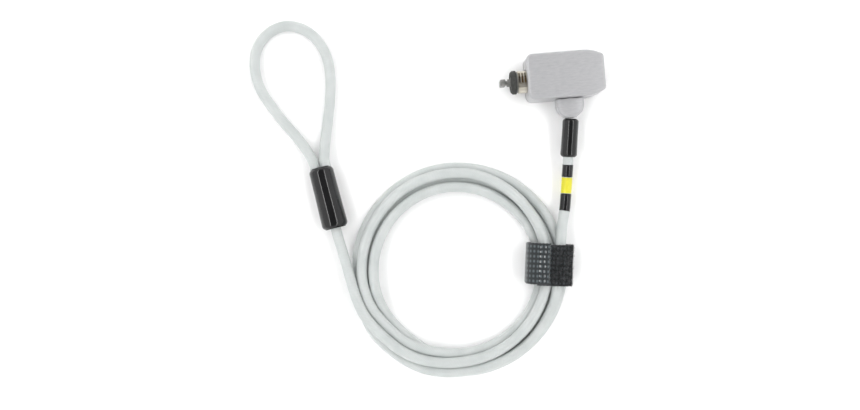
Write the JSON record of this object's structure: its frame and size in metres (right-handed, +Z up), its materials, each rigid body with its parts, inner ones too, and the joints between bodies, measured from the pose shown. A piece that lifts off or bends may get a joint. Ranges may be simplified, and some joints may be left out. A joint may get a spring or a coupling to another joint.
{
  "type": "laptop cable lock",
  "caption": "Keyed T-bar lock head with swivelling lug, on a sheathed steel cable coiled in a hook-and-loop tie, ending in a crimped eye.",
  "frame": {"origin": "middle of the head's outline, on the flat back cover that the head lies on", "axes": "+X along the barrel, from the T-bar to the keyhole; +Y away from the lug and the cable; +Z up, out of the large front face"},
  "size_m": [0.168, 0.18, 0.016],
  "materials": {
    "cast_zinc": "satin silver",
    "bright_steel": "bright",
    "dark_steel": "dark, satin",
    "nickel_plate": "nickel plated",
    "plug_brass": "satin",
    "washer_rubber": "matte",
    "black_vinyl": "gloss",
    "yellow_vinyl": "gloss",
    "cable_vinyl": "satin, slightly see-through over steel strands",
    "tie_tape": "hook-and-loop pile"
  },
  "bodies": {
    "head": {"housing_shell": "cast_zinc", "back_cover": "cast_zinc", "cover_rivet_1": "bright_steel", "cover_rivet_2": "bright_steel", "cover_rivet_3": "bright_steel", "cover_rivet_4": "bright_steel", "stop_pin": "bright_steel", "return_spring": "bright_steel", "swivel_washer": "bright_steel", "lock_end_sleeve": "black_vinyl", "cable_lead_upper": "cable_vinyl", "black_band_upper": "black_vinyl", "yellow_band": "yellow_vinyl", "black_band_lower": "black_vinyl", "cable_lead_lower": "cable_vinyl", "cable_coil": "cable_vinyl", "tie_band": "tie_tape", "tie_flap": "tie_tape", "cable_tail": "cable_vinyl", "loop_end_sleeve": "black_vinyl", "loop_crimp": "bright_steel", "cable_loop": "cable_vinyl"},
    "barrel": {"barrel_sleeve": "nickel_plate", "plug_snap_ring": "bright_steel", "guide_blades": "dark_steel", "rubber_washer": "washer_rubber"},
    "plug": {"key_plug": "plug_brass", "wafer_1": "plug_brass", "wafer_2": "plug_brass", "wafer_3": "plug_brass", "wafer_4": "plug_brass", "t_bar": "dark_steel"},
    "key_guide": {"key_guide_disc": "dark_steel"},
    "lug": {"lug": "cast_zinc", "swivel_stud": "bright_steel", "lug_crimp": "bright_steel"}
  },
  "joints": [
    {"name": "barrel_push", "type": "slide", "parent": "head", "child": "barrel", "axis": [1, 0, 0], "range_m": [0, 0.0038], "stiffness_N_per_m": 400, "springref_m": -0.002, "deforming": ["return_spring"]},
    {"name": "plug_turn", "type": "hinge", "parent": "barrel", "child": "plug", "pos_m": [0, -0.0012, 0.008], "axis": [1, 0, 0], "range_deg": [0, 90]},
    {"name": "key_guide_turn", "type": "hinge", "parent": "head", "child": "key_guide", "pos_m": [0, -0.0012, 0.008], "axis": [1, 0, 0], "range_deg": [0, 90]},
    {"name": "lug_swivel", "type": "hinge", "parent": "head", "child": "lug", "pos_m": [0.0016, 0, 0.008], "axis": [0, 1, 0], "continuous": true}
  ],
  "couplings": [
    {"joint": "key_guide_turn", "follows": "plug_turn", "ratio": 1}
  ]
}
